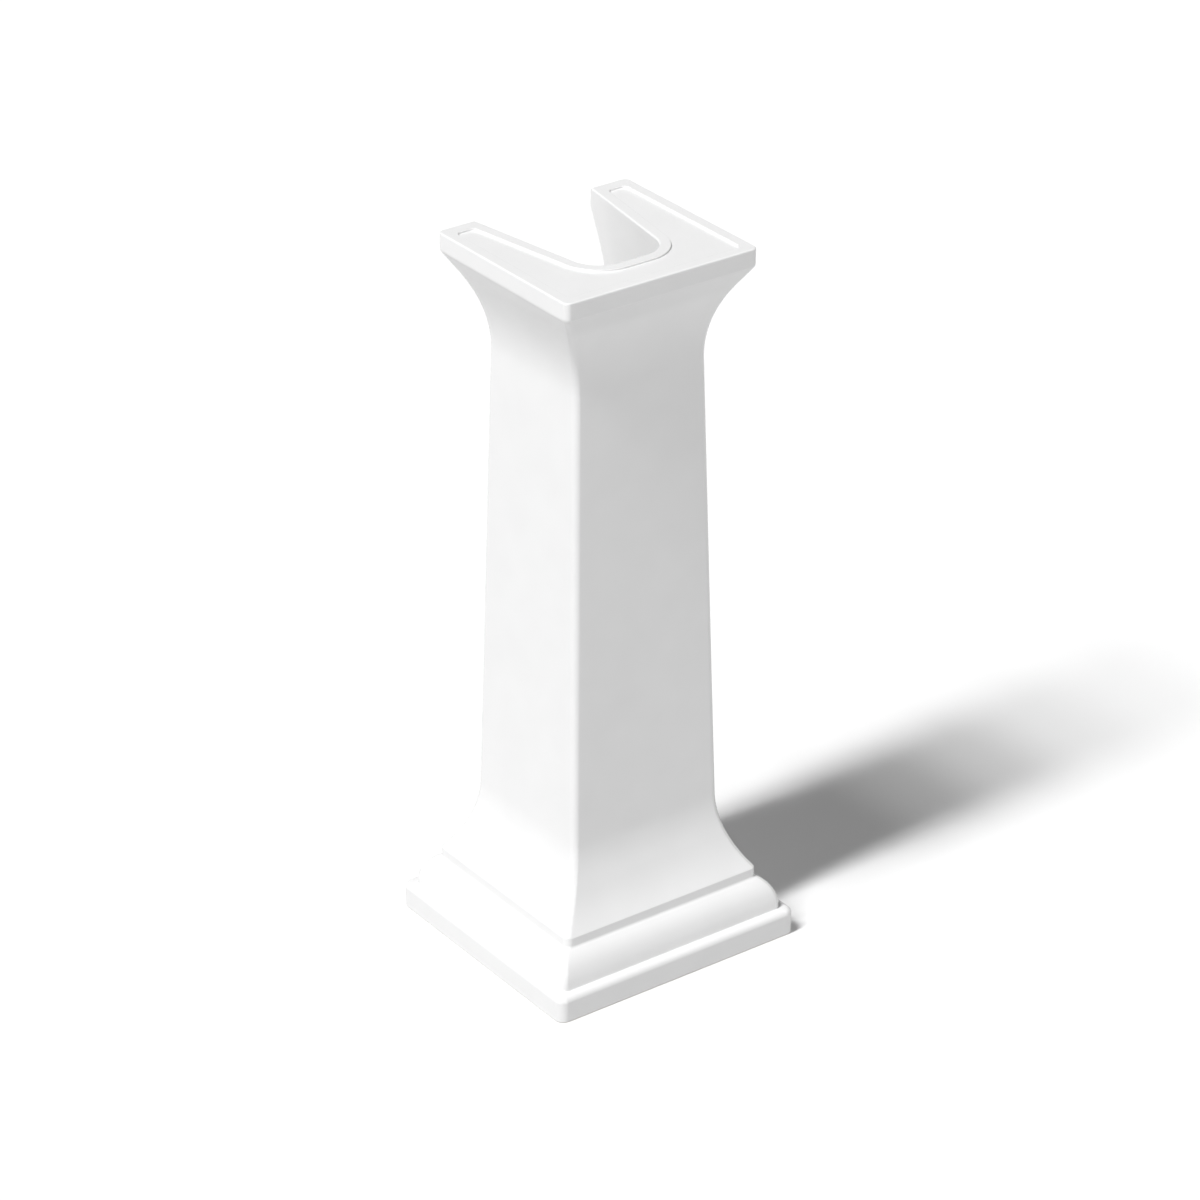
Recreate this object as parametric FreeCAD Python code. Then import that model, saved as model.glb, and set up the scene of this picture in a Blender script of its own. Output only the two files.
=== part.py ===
import FreeCAD, Part
import math
import os

from FreeCAD import Vector

# Ceramic pedestal that a wash basin rests on, with the two fixings that hold it to the floor.
# Millimetres. +Z up, -Y is the front, +Y is the open back. The origin is on the floor, under
# the middle of the foot.

# ---------------------------------------------------------------- driving dimensions
HEIGHT = 700.0
CAP_WIDTH = 207.0
CAP_DEPTH = 195.0
CAP_BAND = 17.0            # height of the upright band round the cap
WALL = 11.0                # thickness of the fired ceramic

# Moulding on all four sides. An inset is measured inwards from the face of the cap band.
COVE_TOP_SLOPE = 32.0      # degrees from upright, where the cove meets the band
SWEEP_RADIUS = 136.0       # cove under the cap, and sweep above the foot
NECK_INSET = 31.3
NECK_Z = 590.0
SHAFT_TAPER = 0.0237       # inset lost for each millimetre down from the neck
LIP_INSET = -6.2
LIP_TOP_Z = 68.0
LIP_BOTTOM_Z = 58.5
OVOLO_INSET = -23.0
OVOLO_BOTTOM_Z = 30.0
PLINTH_INSET = -32.6
PLINTH_TOP_Z = 26.0

# Rounding of the upright corners and of the level edges
CAP_CORNER = 6.0
SHAFT_CORNER = 7.0
PLINTH_CORNER = 9.5
CAP_EDGE = 1.6
BAND_EDGE = 5.5
LIP_EDGE = 2.0
LIP_CREASE = 3.0
LEDGE_CREASE = 1.0
PLINTH_EDGE = 5.5
FOOT_EDGE = 1.6

# Slot in the cap, and the shallow track sunk into the cap's top between two rims
SLOT_HALF = 47.5           # half width where the slot crosses the middle of the cap
SLOT_SLOPE = 0.165         # half width gained for each millimetre towards the back
SLOT_FRONT_Y = -51.0
SLOT_CORNER = 30.0
RIM_SIDE = 11.0
RIM_FRONT = 11.0
RIM_BACK = 13.3
RIM_SLOT = 11.3
TRACK_DEPTH = 2.0
TRACK_CORNER = 5.0
TRACK_EDGE = 0.6           # rounding along the track's rims and along its floor

# Hollow in the leg, its open back, and the web that carries the floor fixings
HOLLOW_CORNER = 16.0
FOOT_WALL = 17.0
FOOT_WALL_TOP_Z = 22.0
HEAD_STEP = 1.0            # how much narrower than the hollow the openings are under the head
WEB_FRONT_Y = 58.0
WEB_BOTTOM_Z = 3.0
WEB_TOP_Z = 18.0
WEB_EDGE = 5.0

# Floor fixings, one each side
FIXING_X = 42.0
FIXING_Y = 86.0
HOLE_RADIUS = 6.6
STUD_RADIUS = 4.0
STUD_PAST_NUT = 5.0
STUD_CHAMFER = 0.8
SLEEVE_RADIUS = 6.3
SLEEVE_BORE = 4.3
FLANGE_RADIUS = 14.0
FLANGE_HEIGHT = 2.0
SEAT_RADIUS = 15.0
SEAT_BORE = 4.5
SEAT_HEIGHT = 5.0
SEAT_WALL = 1.8
WASHER_RADIUS = 8.0
WASHER_BORE = 4.2
WASHER_HEIGHT = 1.6
NUT_FLATS = 13.0
NUT_BORE = 4.05
NUT_HEIGHT = 6.5
NUT_CHAMFER = 0.7
COVER_GAP = 0.3
COVER_WALL = 1.6
COVER_HEIGHT = 20.5
COVER_EDGE = 6.0

TOUCH = 1e-4               # how near counts as on the same line
OFF_LEVEL = 0.6            # a level edge may climb this much round a corner
PAST_TOP = 2.0             # how far the slot's cutting solid reaches above the cap
BEYOND = 60.0              # how far the other cutting solids reach past what they cut

# ---------------------------------------------------------------- worked out from them
HALF_WIDTH = CAP_WIDTH / 2
HALF_DEPTH = CAP_DEPTH / 2
BAND_BOTTOM_Z = HEIGHT - CAP_BAND
FOOT_HALF_WIDTH = HALF_WIDTH - PLINTH_INSET
FOOT_HALF_DEPTH = HALF_DEPTH - PLINTH_INSET
PAST_BACK = FOOT_HALF_DEPTH + BEYOND
LEAN = math.atan(SHAFT_TAPER)
OUTWARD = (math.cos(LEAN), math.sin(LEAN))     # square to the leaning face of the shaft
UPWARD = (-math.sin(LEAN), math.cos(LEAN))     # up along that face


# ---------------------------------------------------------------- flat points and lines
def moved(spot, direction, length):
    """The flat point at a distance from spot along a direction."""
    return (spot[0] + direction[0] * length, spot[1] + direction[1] * length)


def toward(start, end):
    """Unit direction from one flat point to another."""
    length = math.dist(start, end)
    return ((end[0] - start[0]) / length, (end[1] - start[1]) / length)


def arc_between(start, end, centre):
    """Start, middle and end of the short arc about a centre."""
    chord_middle = ((start[0] + end[0]) / 2, (start[1] + end[1]) / 2)
    middle = moved(centre, toward(centre, chord_middle), math.dist(start, centre))
    return (start, middle, end)


def shaft_base(half):
    """Where the straight face of the shaft would meet the floor."""
    return (half - NECK_INSET + SHAFT_TAPER * NECK_Z, 0.0)


def sweep_arc(half):
    """Lower end, upper end and centre of the sweep between the lip and the shaft."""
    lip = (half - LIP_INSET, LIP_TOP_Z)
    base = shaft_base(half)
    offset = (lip[0] - base[0], lip[1] - base[1])
    away = offset[0] * OUTWARD[0] + offset[1] * OUTWARD[1]
    along = offset[0] * UPWARD[0] + offset[1] * UPWARD[1]
    along += math.sqrt(2 * SWEEP_RADIUS * away - away ** 2)
    upper = moved(base, UPWARD, along)
    return lip, upper, moved(upper, OUTWARD, SWEEP_RADIUS)


def cove_arc(half):
    """Lower end, upper end and centre of the cove between the shaft and the cap band."""
    slope = math.radians(COVE_TOP_SLOPE)
    normal = (math.cos(slope), -math.sin(slope))
    base = shaft_base(half)
    rise = (SWEEP_RADIUS * (OUTWARD[0] - normal[0]), SWEEP_RADIUS * (OUTWARD[1] - normal[1]))
    gap = (half - base[0] - rise[0], BAND_BOTTOM_Z - base[1] - rise[1])
    along = gap[0] * normal[0] + gap[1] * normal[1]
    along /= UPWARD[0] * normal[0] + UPWARD[1] * normal[1]
    lower = moved(base, UPWARD, along)
    upper = (lower[0] + rise[0], lower[1] + rise[1])
    return lower, upper, moved(lower, OUTWARD, SWEEP_RADIUS)


def crease_arc(lip, centre, radius):
    """Ends and centre of the small arc that joins the upright lip to the ovolo under it."""
    across = lip + LIP_CREASE - centre[0]
    up = math.sqrt((radius + LIP_CREASE) ** 2 - across ** 2)
    middle = (lip + LIP_CREASE, centre[1] + up)
    meet = moved(centre, toward(centre, middle), radius)
    return meet, (lip, middle[1]), middle


def outside_line(half):
    """The moulding from the floor to the top, in points of (distance from middle, height)."""
    plinth = half - PLINTH_INSET
    ovolo = half - OVOLO_INSET
    lip = half - LIP_INSET
    bulge = ovolo - lip
    ovolo_radius = (bulge ** 2 + (LIP_BOTTOM_Z - OVOLO_BOTTOM_Z) ** 2) / (2 * bulge)
    ovolo_low = (ovolo, OVOLO_BOTTOM_Z)
    ovolo_centre = (ovolo - ovolo_radius, OVOLO_BOTTOM_Z)
    ovolo_high, lip_low, crease_centre = crease_arc(lip, ovolo_centre, ovolo_radius)
    sweep_low, sweep_high, sweep_centre = sweep_arc(half)
    cove_low, cove_high, cove_centre = cove_arc(half)
    return [
        ((plinth, 0.0), (plinth, PLINTH_TOP_Z)),
        ((plinth, PLINTH_TOP_Z), (ovolo, PLINTH_TOP_Z)),
        ((ovolo, PLINTH_TOP_Z), ovolo_low),
        arc_between(ovolo_low, ovolo_high, ovolo_centre),
        arc_between(ovolo_high, lip_low, crease_centre),
        (lip_low, sweep_low),
        arc_between(sweep_low, sweep_high, sweep_centre),
        (sweep_high, cove_low),
        arc_between(cove_low, cove_high, cove_centre),
        (cove_high, (half, BAND_BOTTOM_Z)),
        ((half, BAND_BOTTOM_Z), (half, HEIGHT)),
    ]


def inside_line(half):
    """The wall of the hollow from below the floor to the head, a wall's thickness inside."""
    foot = half - PLINTH_INSET - FOOT_WALL
    sweep_low, sweep_high, centre = sweep_arc(half)
    low = moved(sweep_low, toward(centre, sweep_low), WALL)
    high = moved(sweep_high, OUTWARD, -WALL)
    base = moved(shaft_base(half), OUTWARD, -WALL)
    top = moved(base, UPWARD, (cove_arc(half)[0][1] - base[1]) / UPWARD[1])
    return [
        ((foot, -BEYOND), (foot, FOOT_WALL_TOP_Z)),
        ((foot, FOOT_WALL_TOP_Z), low),
        arc_between(low, high, centre),
        (high, top),
    ]


# ---------------------------------------------------------------- solids with a moulding
def edge(spots):
    """A straight edge through two points, or an arc through three."""
    if len(spots) == 2:
        return Part.LineSegment(*spots).toShape()
    return Part.Arc(*spots).toShape()


def mirrored_prism(line, place, push):
    """Solid whose outline is a line of pieces and its mirror image."""
    other = [tuple((-across, up) for across, up in reversed(piece)) for piece in reversed(line)]
    top = (line[-1][-1], other[0][0])
    bottom = (other[-1][-1], line[0][0])
    pieces = line + [top] + other + [bottom]
    wire = Part.Wire([edge([place(*spot) for spot in piece]) for piece in pieces])
    return Part.Face(wire).extrude(push)


def four_sided(line_for):
    """Solid with the same line on all four sides: two prisms that cross."""
    reach = FOOT_HALF_WIDTH + BEYOND
    front = mirrored_prism(
        line_for(HALF_WIDTH), lambda across, up: Vector(across, -reach, up), Vector(0, 2 * reach, 0))
    side = mirrored_prism(
        line_for(HALF_DEPTH), lambda across, up: Vector(-reach, across, up), Vector(2 * reach, 0, 0))
    return front.common(side).removeSplitter()


def edges_where(shape, test):
    """The edges whose start, middle and end all pass a test."""
    found = []
    for one in shape.Edges:
        first, last = one.ParameterRange
        spots = [one.valueAt(first + (last - first) * step / 2) for step in range(3)]
        if all(test(spot) for spot in spots):
            found.append(one)
    return found


def round_corners(shape, low_z, high_z, radius):
    """Round the four upright corners between two heights."""
    def on_corner(spot):
        off_mitre = (abs(spot.x) - HALF_WIDTH) - (abs(spot.y) - HALF_DEPTH)
        return abs(off_mitre) < TOUCH and low_z - TOUCH < spot.z < high_z + TOUCH
    return shape.makeFillet(radius, edges_where(shape, on_corner))


def round_level(shape, height, inset, radius):
    """Round the level edge that runs right round at one height and inset."""
    def on_edge(spot):
        reach = max(abs(spot.x) - HALF_WIDTH, abs(spot.y) - HALF_DEPTH)
        return abs(spot.z - height) < OFF_LEVEL and -inset - CAP_CORNER < reach < -inset + TOUCH
    return shape.makeFillet(radius, edges_where(shape, on_edge))


def leg_outside():
    """The outer shape of the casting, solid. The edges of its top are still sharp."""
    block = four_sided(outside_line)
    block = round_corners(block, 0.0, PLINTH_TOP_Z, PLINTH_CORNER)
    block = round_corners(block, PLINTH_TOP_Z, LIP_TOP_Z, SHAFT_CORNER)
    block = round_corners(block, LIP_TOP_Z, BAND_BOTTOM_Z, SHAFT_CORNER)
    block = round_corners(block, BAND_BOTTOM_Z, HEIGHT, CAP_CORNER)
    for height, inset, radius in (
            (BAND_BOTTOM_Z, 0.0, BAND_EDGE),
            (LIP_TOP_Z, LIP_INSET, LIP_EDGE),
            (PLINTH_TOP_Z, OVOLO_INSET, LEDGE_CREASE),
            (PLINTH_TOP_Z, PLINTH_INSET, PLINTH_EDGE),
            (0.0, PLINTH_INSET, FOOT_EDGE)):
        block = round_level(block, height, inset, radius)
    return block


def leg_hollow():
    """The space inside the leg, from under the foot to the head."""
    block = four_sided(inside_line)
    return round_corners(block, -BEYOND, HEIGHT, HOLLOW_CORNER)


# ---------------------------------------------------------------- slot, track and back
def under_head(half):
    """How far from the middle the openings reach under the head, and how high that is."""
    reach, height = inside_line(half)[-1][-1]
    return reach - HEAD_STEP, height


def slot_wire(half, slope, front, corner, height):
    """Level outline of a slot that runs out past the back, with rounded front corners."""
    stretch = math.hypot(1.0, slope)
    centre = (half + slope * (front + corner) - corner * stretch, front + corner)
    side = moved(centre, (1 / stretch, -slope / stretch), corner)
    nose = (centre[0], front)
    back = (half + slope * PAST_BACK, PAST_BACK)
    right = [arc_between(nose, side, centre), (side, back)]
    left = [tuple((-x, y) for x, y in reversed(piece)) for piece in reversed(right)]
    pieces = right + [(back, left[0][0])] + left + [(left[-1][-1], nose)]
    return Part.Wire([edge([Vector(x, y, height) for x, y in piece]) for piece in pieces])


def head_slot():
    """The slot through the cap, which widens down into the hollow."""
    half, low_z = under_head(HALF_WIDTH)
    front = -under_head(HALF_DEPTH)[0]
    low = slot_wire(half, 0.0, front, HOLLOW_CORNER, low_z)
    high = slot_wire(SLOT_HALF, SLOT_SLOPE, SLOT_FRONT_Y, SLOT_CORNER, HEIGHT + PAST_TOP)
    return Part.makeLoft([low, high], True, True)


def back_opening():
    """The opening up the back of the leg, from the plinth to the head."""
    half, high_z = under_head(HALF_WIDTH)
    return Part.makeBox(2 * half, PAST_BACK, high_z - PLINTH_TOP_Z, Vector(-half, 0, PLINTH_TOP_Z))


def track():
    """The shallow track in the top: inside the outer rim and outside the slot's rim."""
    low_z = HEIGHT - TRACK_DEPTH
    half = HALF_WIDTH - RIM_SIDE
    front = -HALF_DEPTH + RIM_FRONT
    back = HALF_DEPTH - RIM_BACK
    slab = Part.makeBox(2 * half, back - front, BEYOND, Vector(-half, front, low_z))
    rim_half = SLOT_HALF + RIM_SLOT * math.hypot(1.0, SLOT_SLOPE)
    rim = slot_wire(rim_half, SLOT_SLOPE, SLOT_FRONT_Y - RIM_SLOT, SLOT_CORNER + RIM_SLOT, low_z)
    ring = slab.cut(Part.Face(rim).extrude(Vector(0, 0, BEYOND)))
    ends = edges_where(ring, lambda spot: min(abs(spot.y - front), abs(spot.y - back)) < TOUCH)
    upright = [one for one in ends if one.BoundBox.ZLength > BEYOND / 2]
    return ring.makeFillet(TRACK_CORNER, upright)


def foot_web():
    """The shelf across the back of the foot that the fixings go through."""
    deep = FOOT_HALF_DEPTH - FOOT_WALL / 2 - WEB_FRONT_Y
    half = FOOT_HALF_WIDTH - FOOT_WALL / 2
    shelf = Part.makeBox(
        2 * half, deep, WEB_TOP_Z - WEB_BOTTOM_Z, Vector(-half, WEB_FRONT_Y, WEB_BOTTOM_Z))

    def front_edge(spot):
        return abs(spot.y - WEB_FRONT_Y) < TOUCH and abs(spot.z - WEB_TOP_Z) < TOUCH
    return shelf.makeFillet(WEB_EDGE, edges_where(shelf, front_edge))


def cut_track(casting):
    """Sink the track into the cap's top and round its edges."""
    sunk = track()
    casting = casting.cut(sunk)

    def on_floor(spot):
        return abs(spot.z - HEIGHT + TRACK_DEPTH) < TOUCH

    def on_rim(spot):
        return abs(spot.z - HEIGHT) < TOUCH and sunk.isInside(spot, TOUCH, True)
    casting = casting.makeFillet(TRACK_EDGE, edges_where(casting, on_floor))
    return casting.makeFillet(TRACK_EDGE, edges_where(casting, on_rim))


def pedestal_casting():
    """The whole ceramic leg, one casting: cap, shaft and foot."""
    casting = leg_outside()
    for space in (leg_hollow(), head_slot(), back_opening()):
        casting = casting.cut(space)
    casting = casting.removeSplitter()
    top = edges_where(casting, lambda spot: abs(spot.z - HEIGHT) < TOUCH)
    casting = cut_track(casting.makeFillet(CAP_EDGE, top))
    casting = casting.fuse(foot_web())
    for side in (-1, 1):
        foot = Vector(side * FIXING_X, FIXING_Y, 0)
        casting = casting.cut(Part.makeCylinder(HOLE_RADIUS, WEB_TOP_Z + BEYOND, foot))
    return casting.removeSplitter()


# ---------------------------------------------------------------- floor fixings
def cylinder(radius, low_z, high_z):
    """Upright cylinder about the Z axis."""
    return Part.makeCylinder(radius, high_z - low_z, Vector(0, 0, low_z))


def floor_stud(top_z):
    """Stud that stands up from the floor."""
    stud = cylinder(STUD_RADIUS, 0.0, top_z)
    return stud.makeChamfer(STUD_CHAMFER, edges_where(stud, lambda spot: spot.z > top_z - TOUCH))


def stud_sleeve():
    """Flanged sleeve between the stud and the ceramic."""
    sleeve = cylinder(SLEEVE_RADIUS, WEB_BOTTOM_Z, WEB_TOP_Z)
    sleeve = sleeve.fuse(cylinder(FLANGE_RADIUS, WEB_TOP_Z, WEB_TOP_Z + FLANGE_HEIGHT))
    return sleeve.cut(cylinder(SLEEVE_BORE, 0.0, WEB_TOP_Z + BEYOND)).removeSplitter()


def cap_seat(low_z):
    """Shallow cup that the snap cap clips over."""
    seat = cylinder(SEAT_RADIUS, low_z, low_z + SEAT_HEIGHT)
    seat = seat.cut(cylinder(SEAT_RADIUS - SEAT_WALL, low_z + SEAT_WALL, low_z + BEYOND))
    return seat.cut(cylinder(SEAT_BORE, 0.0, low_z + BEYOND))


def plain_washer(low_z):
    """Flat steel washer."""
    washer = cylinder(WASHER_RADIUS, low_z, low_z + WASHER_HEIGHT)
    return washer.cut(cylinder(WASHER_BORE, 0.0, low_z + BEYOND))


def hex_nut(low_z):
    """Six-sided nut with its corners turned off."""
    corner = NUT_FLATS / 2 / math.cos(math.pi / 6)
    ring = [Vector(corner * math.cos(turn * math.pi / 3), corner * math.sin(turn * math.pi / 3), low_z)
            for turn in range(7)]
    prism = Part.Face(Part.makePolygon(ring)).extrude(Vector(0, 0, NUT_HEIGHT))
    high_z = low_z + NUT_HEIGHT
    round_bar = cylinder(corner, low_z, high_z)
    ends = edges_where(round_bar, lambda spot: min(abs(spot.z - low_z), abs(spot.z - high_z)) < TOUCH)
    turned = round_bar.makeChamfer(NUT_CHAMFER, ends)
    return prism.common(turned).cut(cylinder(NUT_BORE, 0.0, low_z + BEYOND))


def snap_cap():
    """Domed cover that goes over the nut and the cap seat."""
    low_z = WEB_TOP_Z + COVER_GAP
    bore = SEAT_RADIUS + COVER_GAP
    high_z = low_z + COVER_HEIGHT
    outer = cylinder(bore + COVER_WALL, low_z, high_z)
    outer = outer.makeFillet(COVER_EDGE, edges_where(outer, lambda spot: spot.z > high_z - TOUCH))
    inner_top = high_z - COVER_WALL
    inner = cylinder(bore, low_z - BEYOND, inner_top)
    inner = inner.makeFillet(
        COVER_EDGE - COVER_WALL, edges_where(inner, lambda spot: spot.z > inner_top - TOUCH))
    return outer.cut(inner)


def floor_fixing():
    """The pieces of one fixing about the Z axis, from the web upwards."""
    seat_z = WEB_TOP_Z + FLANGE_HEIGHT
    washer_z = seat_z + SEAT_WALL
    nut_z = washer_z + WASHER_HEIGHT
    return {
        "floor_stud": floor_stud(nut_z + NUT_HEIGHT + STUD_PAST_NUT),
        "stud_sleeve": stud_sleeve(),
        "cap_seat": cap_seat(seat_z),
        "plain_washer": plain_washer(washer_z),
        "hex_nut": hex_nut(nut_z),
        "snap_cap": snap_cap(),
    }


# ---------------------------------------------------------------- write the parts
def main():
    os.makedirs("parts", exist_ok=True)
    pieces = {"pedestal_casting": pedestal_casting()}
    for side, name in ((-1, "left"), (1, "right")):
        for piece, shape in floor_fixing().items():
            pieces[name + "_" + piece] = shape.translated(Vector(side * FIXING_X, FIXING_Y, 0))
    for name, shape in pieces.items():
        solid = shape.Solids[0]
        solid.exportStep(os.path.join("parts", name + ".step"))
        print(name, len(shape.Solids), solid.isValid(), round(solid.Volume), solid.BoundBox)


main()
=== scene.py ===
import math

import bmesh
import bpy
from mathutils import Euler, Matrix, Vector


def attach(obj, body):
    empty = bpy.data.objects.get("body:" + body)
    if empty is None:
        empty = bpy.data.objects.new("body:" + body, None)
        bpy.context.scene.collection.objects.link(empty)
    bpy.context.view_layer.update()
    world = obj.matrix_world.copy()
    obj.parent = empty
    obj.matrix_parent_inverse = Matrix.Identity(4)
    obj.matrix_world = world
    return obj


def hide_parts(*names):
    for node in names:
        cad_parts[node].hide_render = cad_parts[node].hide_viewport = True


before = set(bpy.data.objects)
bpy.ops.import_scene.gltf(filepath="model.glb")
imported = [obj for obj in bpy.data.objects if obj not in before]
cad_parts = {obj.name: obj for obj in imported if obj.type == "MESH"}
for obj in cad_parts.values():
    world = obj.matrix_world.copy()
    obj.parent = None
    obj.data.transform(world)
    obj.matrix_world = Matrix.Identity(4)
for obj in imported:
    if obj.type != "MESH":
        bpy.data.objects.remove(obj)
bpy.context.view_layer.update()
MM = 0.001


# ---------------------------------------------------------------- materials
def linear(hex_colour):
    """An sRGB hex colour as linear red, green, blue and alpha."""
    values = [int(hex_colour[i:i + 2], 16) / 255 for i in (1, 3, 5)]
    return [v / 12.92 if v <= 0.04045 else ((v + 0.055) / 1.055) ** 2.4 for v in values] + [1.0]


def add_node(tree, kind, settings=None, values=None, links=None):
    """Adds a node, sets its properties and its sockets, and links sockets from other nodes."""
    node = tree.nodes.new(kind)
    for name, value in (settings or {}).items():
        setattr(node, name, value)
    for name, value in (values or {}).items():
        node.inputs[name].default_value = value
    for name, source in (links or {}).items():
        tree.links.new(source, node.inputs[name])
    return node


def new_material(name, **values):
    """A material whose shader has these constant values."""
    material = bpy.data.materials.new(name)
    material.use_nodes = True
    shader = material.node_tree.nodes["Principled BSDF"]
    for socket, value in values.items():
        shader.inputs[socket.replace("_", " ")].default_value = value
    return material, material.node_tree, shader


def colour_steps(tree, source, steps):
    """A ramp between colours, given as (place, hex colour)."""
    ramp = add_node(tree, "ShaderNodeValToRGB", links={"Fac": source})
    band = ramp.color_ramp
    while len(band.elements) < len(steps):
        band.elements.new(0.5)
    for element, (place, colour) in zip(band.elements, steps):
        element.position = place
        element.color = linear(colour)
    return ramp.outputs["Color"]


def pattern(tree, size_mm, detail=2.0, roughness=0.5):
    """Noise whose blots are about size_mm across, in the object's own metres."""
    place = add_node(tree, "ShaderNodeTexCoord")
    noise = add_node(
        tree, "ShaderNodeTexNoise",
        values={"Scale": 1 / (size_mm * MM), "Detail": detail, "Roughness": roughness},
        links={"Vector": place.outputs["Object"]})
    return noise.outputs["Fac"]


def raised(tree, shader, source, height_mm, normal=None):
    """Drives the shader's normal with a relief of height_mm."""
    bump = add_node(
        tree, "ShaderNodeBump", values={"Strength": 1.0, "Distance": height_mm * MM},
        links={"Height": source})
    if normal is not None:
        tree.links.new(normal, bump.inputs["Normal"])
    tree.links.new(bump.outputs["Normal"], shader.inputs["Normal"])
    return bump.outputs["Normal"]


def spread(tree, source, low, high):
    """Turns 0 to 1 into low to high."""
    return add_node(
        tree, "ShaderNodeMapRange", values={"To Min": low, "To Max": high},
        links={"Value": source}).outputs["Result"]


def glazed_vitreous_china():
    """Fired glaze on a slip casting: white, glassy, with the faint swell of glaze that ran."""
    material, tree, shader = new_material("glazed_vitreous_china", IOR=1.5)
    swell = pattern(tree, 40, detail=1.0)
    tree.links.new(
        colour_steps(tree, swell, [(0.3, "#f2f2f2"), (0.7, "#f4f4f4")]),
        shader.inputs["Base Color"])
    tree.links.new(spread(tree, pattern(tree, 18), 0.17, 0.21), shader.inputs["Roughness"])
    first = raised(tree, shader, swell, 0.02)
    raised(tree, shader, pattern(tree, 3), 0.004, first)
    return material


def sprayed_inside():
    """Inside of the casting: a thin sprayed coat of glaze, drier and slightly speckled."""
    material, tree, shader = new_material("thin_sprayed_glaze", IOR=1.5)
    tree.links.new(
        colour_steps(tree, pattern(tree, 14, detail=4), [(0.35, "#e6e6e4"), (0.65, "#eaeae9")]),
        shader.inputs["Base Color"])
    tree.links.new(spread(tree, pattern(tree, 6), 0.38, 0.6), shader.inputs["Roughness"])
    raised(tree, shader, pattern(tree, 2.5, detail=3), 0.08)
    return material


def bare_biscuit():
    """Fired clay that was wiped clean of glaze, as under the foot: matt and a little warm."""
    material, tree, shader = new_material("bare_biscuit_clay", IOR=1.5)
    tree.links.new(
        colour_steps(tree, pattern(tree, 9, detail=4), [(0.35, "#d9d2c4"), (0.65, "#e3ddd1")]),
        shader.inputs["Base Color"])
    tree.links.new(spread(tree, pattern(tree, 2), 0.82, 0.95), shader.inputs["Roughness"])
    raised(tree, shader, pattern(tree, 1.2, detail=3), 0.05)
    return material


def bright_zinc_plate():
    """Zinc plate on cold-formed steel: silver with a faint blue cast and small dull blooms."""
    material, tree, shader = new_material("bright_zinc_plate", Metallic=1.0)
    tree.links.new(
        colour_steps(tree, pattern(tree, 3, detail=3), [(0.3, "#a9adb3"), (0.7, "#c3c6cb")]),
        shader.inputs["Base Color"])
    tree.links.new(spread(tree, pattern(tree, 1.2), 0.26, 0.42), shader.inputs["Roughness"])
    raised(tree, shader, pattern(tree, 0.5), 0.01)
    return material


def natural_nylon():
    """Unpigmented injection-moulded nylon: milky, slightly yellow and waxy."""
    material, tree, shader = new_material(
        "natural_nylon", IOR=1.53, Subsurface_Weight=0.25, Subsurface_Scale=0.002)
    tree.links.new(
        colour_steps(tree, pattern(tree, 5), [(0.3, "#d6d1bd"), (0.7, "#e0dccb")]),
        shader.inputs["Base Color"])
    tree.links.new(spread(tree, pattern(tree, 2), 0.4, 0.5), shader.inputs["Roughness"])
    raised(tree, shader, pattern(tree, 0.8), 0.01)
    return material


def white_polypropylene():
    """Injection-moulded cover plastic: a soft gloss that scatters a little more than glaze."""
    material, tree, shader = new_material("white_polypropylene", IOR=1.49)
    tree.links.new(
        colour_steps(tree, pattern(tree, 8), [(0.3, "#e4e4e1"), (0.7, "#e9e9e7")]),
        shader.inputs["Base Color"])
    tree.links.new(spread(tree, pattern(tree, 1.5), 0.26, 0.34), shader.inputs["Roughness"])
    raised(tree, shader, pattern(tree, 0.6), 0.006)
    return material


GLAZE = glazed_vitreous_china()
INSIDE = sprayed_inside()
BISCUIT = bare_biscuit()
ZINC = bright_zinc_plate()
NYLON = natural_nylon()
COVER = white_polypropylene()


# ---------------------------------------------------------------- the casting
SAME_PLACE = 0.002 * MM          # corners this near each other are one
SAME_PLANE = math.radians(0.1)   # faces this near to flat are one
FOOT_RING_TOP = 0.5 * MM         # faces below this are the ring that the foot stands on
HEAD_BOTTOM = 590 * MM           # the sprayed coat inside ends here, under the head
SHARP_EDGE = math.radians(40)
GLAZE_ROUNDING = 1.2 * MM


def glazed_casting():
    """The ceramic leg in its three finishes, its sharp edges softened as glaze softens them."""
    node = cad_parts["pedestal_casting"]
    mesh = node.data.copy()
    mesh.name = "glazed_leg"
    mesh.materials.clear()
    finishes = [GLAZE, INSIDE, BISCUIT]
    for finish in finishes:
        mesh.materials.append(finish)
    shell = bmesh.new()
    shell.from_mesh(mesh)
    bmesh.ops.remove_doubles(shell, verts=shell.verts, dist=SAME_PLACE)
    bmesh.ops.dissolve_limit(
        shell, angle_limit=SAME_PLANE, verts=shell.verts, edges=shell.edges)
    for face in shell.faces:
        middle = face.calc_center_median()
        inwards = face.normal.x * middle.x + face.normal.y * middle.y < 0
        finish = GLAZE
        if middle.z < FOOT_RING_TOP:
            finish = BISCUIT
        elif inwards and middle.z < HEAD_BOTTOM:
            finish = INSIDE
        face.material_index = finishes.index(finish)
        face.smooth = True
    shell.to_mesh(mesh)
    shell.free()
    leg = bpy.data.objects.new("glazed_leg", mesh)
    bpy.context.scene.collection.objects.link(leg)
    soften = leg.modifiers.new("softened edges", "BEVEL")
    soften.limit_method = "ANGLE"
    soften.angle_limit = SHARP_EDGE
    soften.width = GLAZE_ROUNDING
    soften.segments = 3
    even = leg.modifiers.new("even shading", "WEIGHTED_NORMAL")
    even.keep_sharp = False
    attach(leg, "pedestal")
    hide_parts("pedestal_casting")


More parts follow.
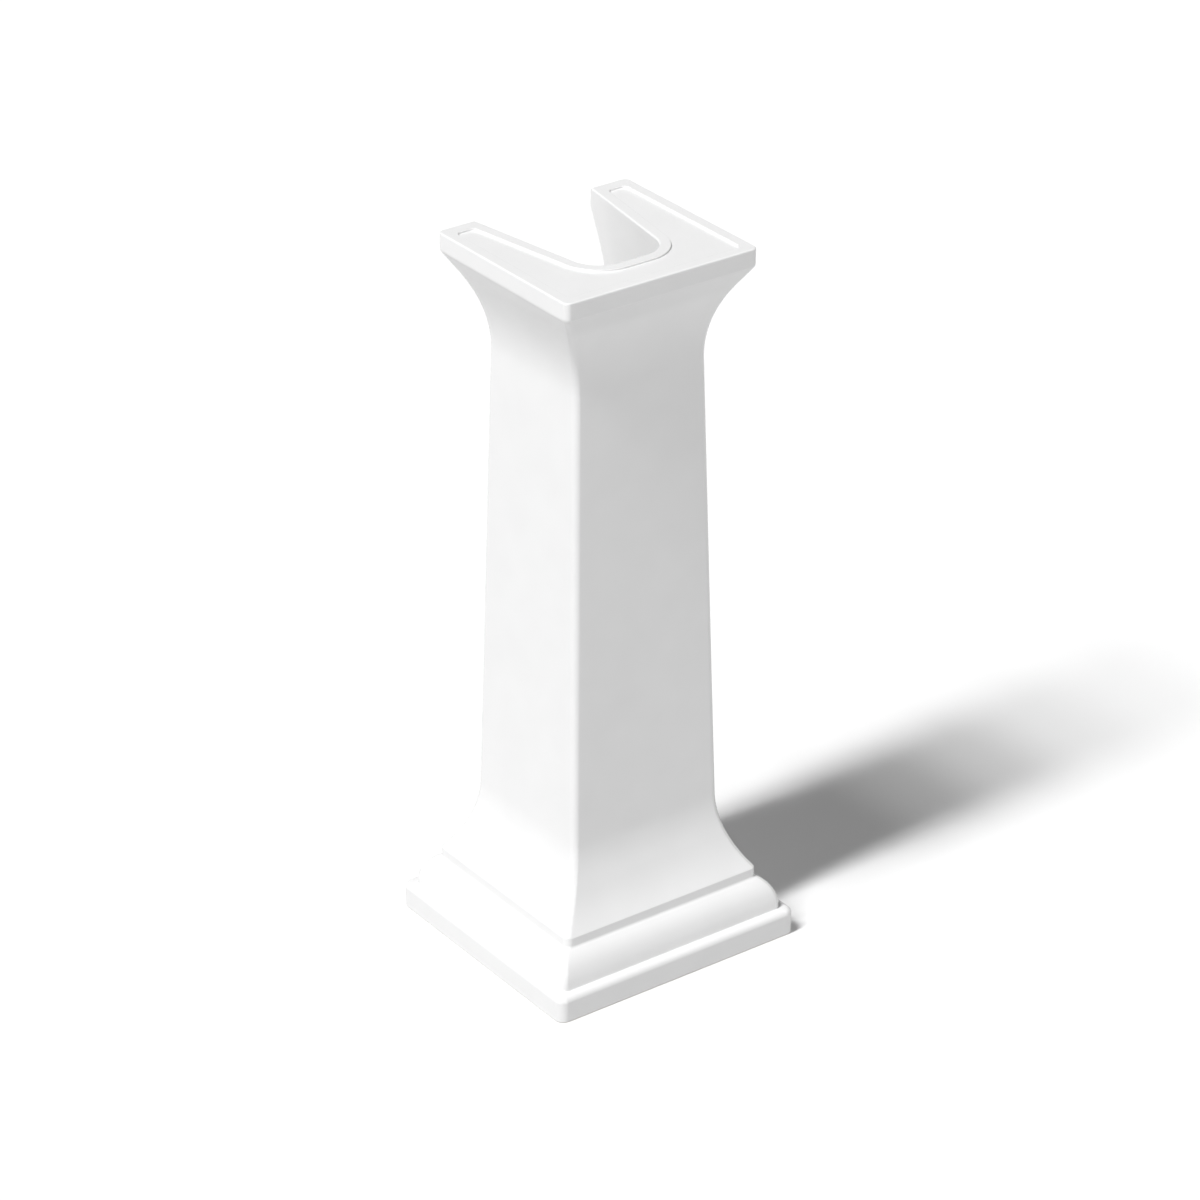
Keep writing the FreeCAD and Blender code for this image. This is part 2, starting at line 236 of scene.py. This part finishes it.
# ---------------------------------------------------------------- the floor fixings
THREAD_PITCH = 1.25 * MM
THREAD_DEPTH = 0.6 * MM
STEPS_IN_A_TURN = 32
STUD_CHAMFER = 0.8 * MM
THREAD_JOIN = 0.01 * MM          # one turn's edge meets the next turn's within this
THREAD_CREASE = math.radians(30)


def threaded_stud(side):
    """Rolled M8 stud: one ridge wound up a rod, cut off at the floor and chamfered at the top."""
    name = side + "_floor_stud"
    corners = [Vector(corner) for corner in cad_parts[name].bound_box]
    low, high = corners[0], corners[6]
    crest = (high.x - low.x) / 2
    root = crest - THREAD_DEPTH
    ridge = [(root, 0.0), (root, 0.12), (crest, 0.44), (crest, 0.56), (root, 0.88), (root, 1.0)]
    thread = bmesh.new()
    spots = [
        thread.verts.new((reach, 0.0, low.z + (share - 1) * THREAD_PITCH)) for reach, share in ridge]
    edges = [thread.edges.new(pair) for pair in zip(spots, spots[1:])]
    turns = math.ceil((high.z - low.z) / THREAD_PITCH) + 2
    bmesh.ops.spin(
        thread, geom=spots + edges, cent=(0, 0, 0), axis=(0, 0, 1),
        dvec=(0, 0, THREAD_PITCH / STEPS_IN_A_TURN), angle=math.tau * turns,
        steps=STEPS_IN_A_TURN * turns)
    bmesh.ops.remove_doubles(thread, verts=thread.verts, dist=THREAD_JOIN)
    for height, outside in ((low.z, -1), (high.z, 1)):
        everything = thread.verts[:] + thread.edges[:] + thread.faces[:]
        bmesh.ops.bisect_plane(
            thread, geom=everything, plane_co=(0, 0, height), plane_no=(0, 0, outside),
            clear_outer=True)
    rims = [one for one in thread.edges if one.is_boundary]
    bmesh.ops.holes_fill(thread, edges=rims, sides=0)
    for spot in thread.verts:
        reach = math.hypot(spot.co.x, spot.co.y)
        allowed = crest - STUD_CHAMFER + high.z - spot.co.z
        if reach > allowed:
            spot.co.x *= allowed / reach
            spot.co.y *= allowed / reach
    middle = (low + high) / 2
    bmesh.ops.translate(thread, verts=thread.verts, vec=(middle.x, middle.y, 0))
    bmesh.ops.recalc_face_normals(thread, faces=thread.faces)
    for face in thread.faces:
        face.smooth = True
    mesh = bpy.data.meshes.new(side + "_threaded_stud")
    thread.to_mesh(mesh)
    thread.free()
    mesh.set_sharp_from_angle(angle=THREAD_CREASE)
    mesh.materials.append(ZINC)
    stud = bpy.data.objects.new(mesh.name, mesh)
    bpy.context.scene.collection.objects.link(stud)
    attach(stud, "pedestal")
    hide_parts(name)


glazed_casting()
threaded_stud("left")
threaded_stud("right")

FINISHES = {"sleeve": NYLON, "seat": COVER, "washer": ZINC, "nut": ZINC, "cap": COVER}
for name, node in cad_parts.items():
    last = name.split("_")[-1]
    if last in FINISHES:
        node.data.materials[0] = FINISHES[last]

# ---------------------------------------------------------------- floor, camera and light
FLOOR_SIZE = 30
CAMERA_DOWN = 28.06              # degrees that the camera looks down
CAMERA_TURN = -36.01             # and turns from straight towards +Y

bpy.ops.mesh.primitive_plane_add(size=FLOOR_SIZE)
floor = bpy.context.object
floor.name = "floor"
# the floor throws no light up and blocks none: the lower half of the world stands in for it
floor.visible_diffuse = False
floor.visible_shadow = False
paint, _, _ = new_material(
    "white_studio_floor", Base_Color=linear("#fbfbfb"), Roughness=0.95, Specular_IOR_Level=0.0)
floor.data.materials.append(paint)

camera_data = bpy.data.cameras.new("camera")
camera_data.lens = 133.4
camera_data.sensor_width = 36.0
camera = bpy.data.objects.new("camera", camera_data)
camera.location = (-2.107, -2.903, 2.254)
camera.rotation_euler = Euler((math.radians(90 - CAMERA_DOWN), 0.0, math.radians(CAMERA_TURN)))
bpy.context.scene.collection.objects.link(camera)
bpy.context.scene.camera = camera

bpy.context.scene.view_settings.view_transform = "Standard"


def studio_world(above, below):
    """White surroundings, of one brightness above the floor's level and another below it."""
    world = bpy.data.worlds.new("studio")
    world.use_nodes = True
    tree = world.node_tree
    place = add_node(tree, "ShaderNodeTexCoord")
    height = add_node(
        tree, "ShaderNodeSeparateXYZ", links={"Vector": place.outputs["Generated"]})
    upper = add_node(
        tree, "ShaderNodeMath", {"operation": "GREATER_THAN"}, {1: 0.0}, {0: height.outputs["Z"]})
    background = tree.nodes["Background"]
    background.inputs["Color"].default_value = (1, 1, 1, 1)
    tree.links.new(spread(tree, upper.outputs["Value"], below, above), background.inputs["Strength"])
    return world


def sunlight(name, energy, width, rise, turn):
    """Far light of an angular width, from a height above the floor and a turn from -X to -Y."""
    data = bpy.data.lights.new(name, "SUN")
    data.energy = energy
    data.angle = math.radians(width)
    high = math.radians(rise)
    around = math.radians(turn)
    source = Vector((
        -math.cos(high) * math.cos(around), -math.cos(high) * math.sin(around), math.sin(high)))
    light = bpy.data.objects.new(name, data)
    light.rotation_euler = (-source).to_track_quat("-Z", "Y").to_euler()
    bpy.context.scene.collection.objects.link(light)


# a tall narrow window at the left, in strips by height: the shadow has crisp sides and fades
# along its length
WINDOW_WIDTH = 6
WINDOW_TURN = 3
WINDOW_STRIPS = ((46, 0.52), (52, 0.58), (58, 0.91), (64, 0.74), (70, 0.38))

bpy.context.scene.world = studio_world(above=0.2, below=0.56)
for rise, energy in WINDOW_STRIPS:
    sunlight("window strip at %d degrees" % rise, energy, WINDOW_WIDTH, rise, WINDOW_TURN)
sunlight("room in front", 0.65, 40, 8, 90)
sunlight("room at the left", 0.24, 40, 0, 0)
